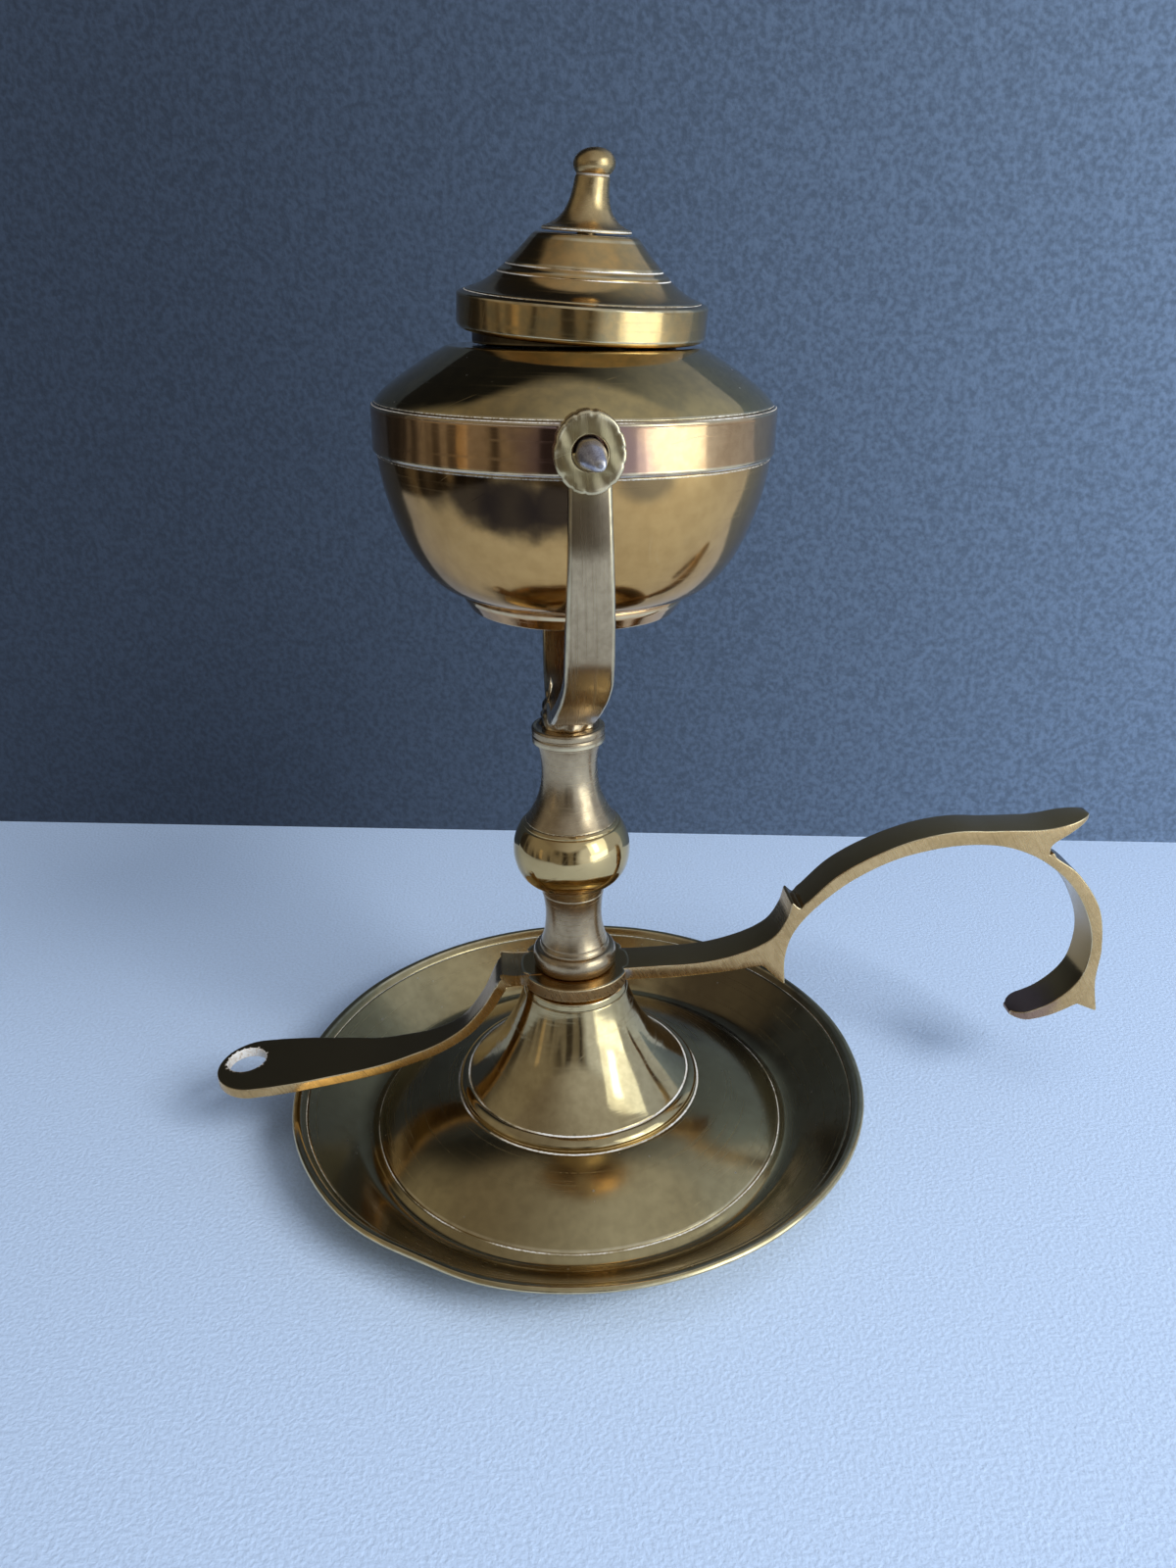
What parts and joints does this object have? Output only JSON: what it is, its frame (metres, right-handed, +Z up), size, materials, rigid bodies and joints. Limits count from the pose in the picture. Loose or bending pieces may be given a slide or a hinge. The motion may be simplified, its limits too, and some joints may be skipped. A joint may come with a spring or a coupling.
{
  "type": "gimbal oil lamp",
  "caption": "Brass gimbal oil lamp: a lidded oil font swings in a fork on a turned stem over a drip dish, with a scrolled finger hook and a hanging tab.",
  "frame": {"origin": "on the table, under the middle of the whole object's length", "axes": "+Z up, +X along the handle towards its scroll, +Y along the font's pivot towards the rear eye"},
  "size_m": [0.1864, 0.12, 0.1857],
  "materials": {
    "polished_brass": "hand polished, tarnished in the hollows",
    "aged_brass": "olive tarnish over an old polish",
    "dark_brass": "dark top faces, filed edges",
    "pale_brass": "satin, worn bright on the edges",
    "iron": "dark, worn smooth",
    "ballast": "dull cast",
    "cotton": "woven wick"
  },
  "bodies": {
    "stand": {"dish": "aged_brass", "pedestal": "aged_brass", "handle": "dark_brass", "stem": "polished_brass", "fork": "pale_brass", "tie_rod": "iron", "tie_washer": "aged_brass", "tie_nut": "iron"},
    "font": {"font_bowl": "polished_brass", "font_band": "polished_brass", "font_shoulder": "aged_brass", "font_foot": "polished_brass", "ballast_weight": "ballast", "neck_collar": "aged_brass", "pivot_pin_front": "iron", "pivot_pin_rear": "iron"},
    "burner": {"burner_plate": "aged_brass", "wick_tube_left": "aged_brass", "wick_tube_right": "aged_brass"},
    "wick_left": {"wick_left": "cotton"},
    "wick_right": {"wick_right": "cotton"},
    "lid": {"lid_shell": "polished_brass", "lid_finial": "polished_brass", "finial_nut": "aged_brass"}
  },
  "joints": [
    {"name": "font_swing", "type": "hinge", "parent": "stand", "child": "font", "pos_m": [-0.0153, 0, 0.1447], "axis": [0, 1, 0], "range_deg": [-90, 90]},
    {"name": "burner_lift", "type": "slide", "parent": "font", "child": "burner", "axis": [0.0314, 0, 0.9995], "range_m": [0, 0.05]},
    {"name": "wick_left_raise", "type": "slide", "parent": "burner", "child": "wick_left", "axis": [0.0314, 0, 0.9995], "range_m": [0, 0.0035]},
    {"name": "wick_right_raise", "type": "slide", "parent": "burner", "child": "wick_right", "axis": [0.0314, 0, 0.9995], "range_m": [0, 0.0035]},
    {"name": "lid_lift", "type": "slide", "parent": "burner", "child": "lid", "axis": [0.0784, -0.0649, 0.9948], "range_m": [0, 0.04]}
  ]
}
